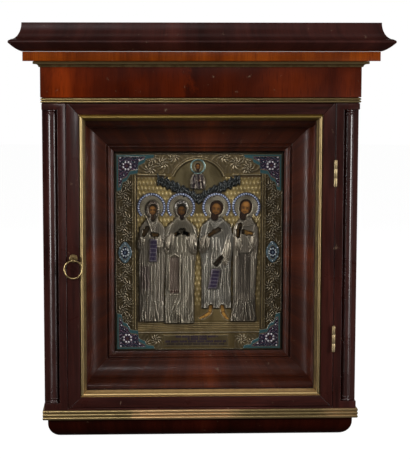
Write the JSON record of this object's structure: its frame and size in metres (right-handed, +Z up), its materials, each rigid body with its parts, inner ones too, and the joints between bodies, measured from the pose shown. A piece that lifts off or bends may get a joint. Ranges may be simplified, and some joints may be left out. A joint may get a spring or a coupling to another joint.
{
  "type": "icon in a glazed case",
  "caption": "Standing glazed mahogany case with a brass-trimmed hinged door and ring pull, holding an icon under an embossed metal cover with enamel plaques.",
  "frame": {"origin": "middle of the bounding box's base, on the surface the case stands on", "axes": "+Z up, -Y out of the glazed front, +X to the viewer's right"},
  "size_m": [0.583, 0.1764, 0.6487],
  "materials": {
    "mahogany": "french polished, worn",
    "flame_veneer": "french polished flame veneer",
    "crossbanding": "polished crossbanding",
    "pine": "bare, aged",
    "brass": "aged, dull",
    "silver_gilt": "embossed, parcel gilt",
    "enamel": "glossy",
    "icon_paint": "tempera under varnish",
    "clear_glass": "clear"
  },
  "bodies": {
    "case": {"case_side_left": "mahogany", "case_side_right": "mahogany", "face_stile_left": "mahogany", "face_stile_right": "mahogany", "bottom_rail": "mahogany", "base_moulding_front": "mahogany", "base_moulding_left": "mahogany", "base_moulding_right": "mahogany", "base_board": "mahogany", "crown_front": "mahogany", "crown_left": "mahogany", "crown_right": "mahogany", "crown_cap": "mahogany", "column_left": "mahogany", "column_right": "mahogany", "inner_frame_top": "mahogany", "inner_frame_bottom": "mahogany", "inner_frame_left": "mahogany", "inner_frame_right": "mahogany", "frieze_board": "flame_veneer", "cornice_board": "crossbanding", "back_board": "pine", "bed_front": "brass", "bed_left": "brass", "bed_right": "brass", "astragal_front": "brass", "astragal_left": "brass", "astragal_right": "brass", "strip_front": "brass", "strip_left": "brass", "strip_right": "brass", "hinge_case_upper": "brass", "hinge_case_lower": "brass", "icon_board": "icon_paint", "oklad": "silver_gilt", "corner_tl": "enamel", "corner_tr": "enamel", "corner_bl": "enamel", "corner_br": "enamel", "medallion_left": "enamel", "medallion_right": "enamel", "halo_1": "enamel", "halo_2": "enamel", "halo_3": "enamel", "halo_4": "enamel"},
    "door": {"door_stile_left": "mahogany", "door_stile_right": "mahogany", "door_rail_top": "mahogany", "door_rail_bottom": "mahogany", "glass": "clear_glass", "slip_left": "brass", "slip_right": "brass", "slip_top": "brass", "slip_bottom": "brass", "pull_boss": "brass", "hinge_door_upper": "brass", "hinge_door_lower": "brass"},
    "ring": {"ring_pull": "brass"}
  },
  "joints": [
    {"name": "door_hinge", "type": "hinge", "parent": "case", "child": "door", "pos_m": [0.208, -0.04475, 0.288], "axis": [0, 0, 1], "range_deg": [0, 110]},
    {"name": "ring_swing", "type": "hinge", "parent": "door", "child": "ring", "pos_m": [-0.198, -0.04835, 0.2842], "axis": [-1, 0, 0], "range_deg": [-6, 120]}
  ]
}
